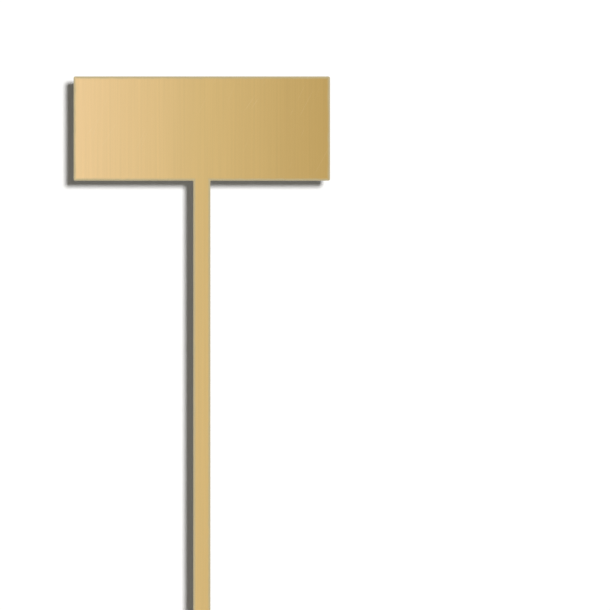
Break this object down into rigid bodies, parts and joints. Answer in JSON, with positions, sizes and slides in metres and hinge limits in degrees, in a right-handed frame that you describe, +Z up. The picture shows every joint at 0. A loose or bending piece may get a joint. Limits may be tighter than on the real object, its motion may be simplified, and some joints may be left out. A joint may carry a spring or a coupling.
{
  "type": "plant label stake",
  "caption": "Flat T-shaped plant label stake: a wide blank gold-coloured head on a slim pointed stem, a thin metal face bonded to a black acrylic core.",
  "frame": {"origin": "on the stake's centre line at the soil line, midway through its thickness", "axes": "+Z up along the stake, -Y the way the label faces, +X to the right as the label is seen from the front"},
  "size_m": [0.075, 0.0036, 0.2],
  "materials": {
    "core": "black cast acrylic, glossy faces, laser-cut edges",
    "film": "double-sided bonding film, milky clear",
    "face": "satin gold-anodised, fine brushed grain"
  },
  "bodies": {
    "root": {"stake_core": "core", "head_film": "film", "stem_film": "film", "face_sheet": "face"}
  },
  "joints": []
}
